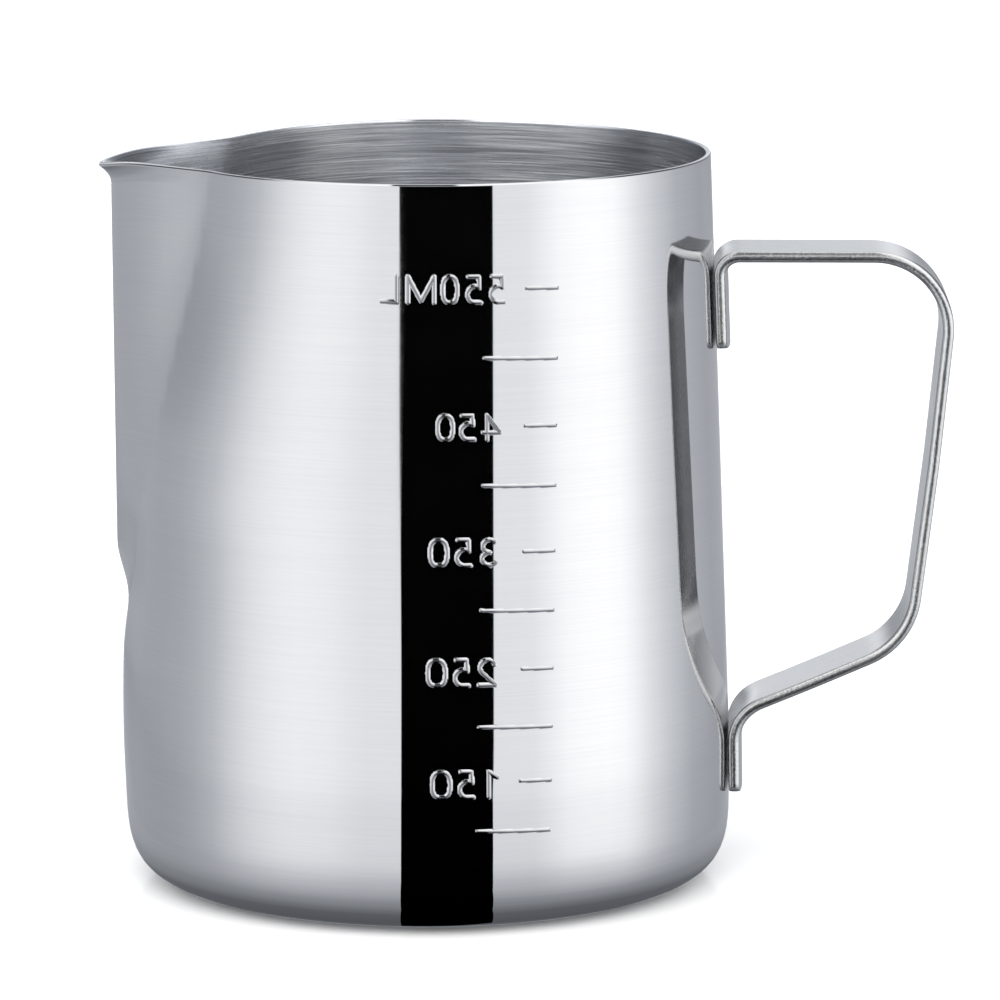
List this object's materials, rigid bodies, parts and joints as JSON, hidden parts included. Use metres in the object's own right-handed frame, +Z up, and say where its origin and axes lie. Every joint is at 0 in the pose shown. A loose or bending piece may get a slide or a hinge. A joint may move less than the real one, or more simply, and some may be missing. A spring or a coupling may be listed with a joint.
{
  "type": "milk frothing jug",
  "caption": "Open steel frothing jug: round tapered body with a pressed pouring spout, a volume scale on its side and a bent strap handle welded on opposite the spout.",
  "frame": {"origin": "on the body's axis, on the underside of the flat base", "axes": "+Z up along the body's axis; +X from the axis towards the handle, so the spout points to -X; the volume scale faces -Y"},
  "size_m": [0.1262, 0.0898, 0.1085],
  "materials": {
    "jug_body": "satin brushed round the body",
    "handle": "polished strap with tumbled edges"
  },
  "bodies": {
    "root": {"jug_body": "jug_body", "handle": "handle"}
  },
  "joints": []
}
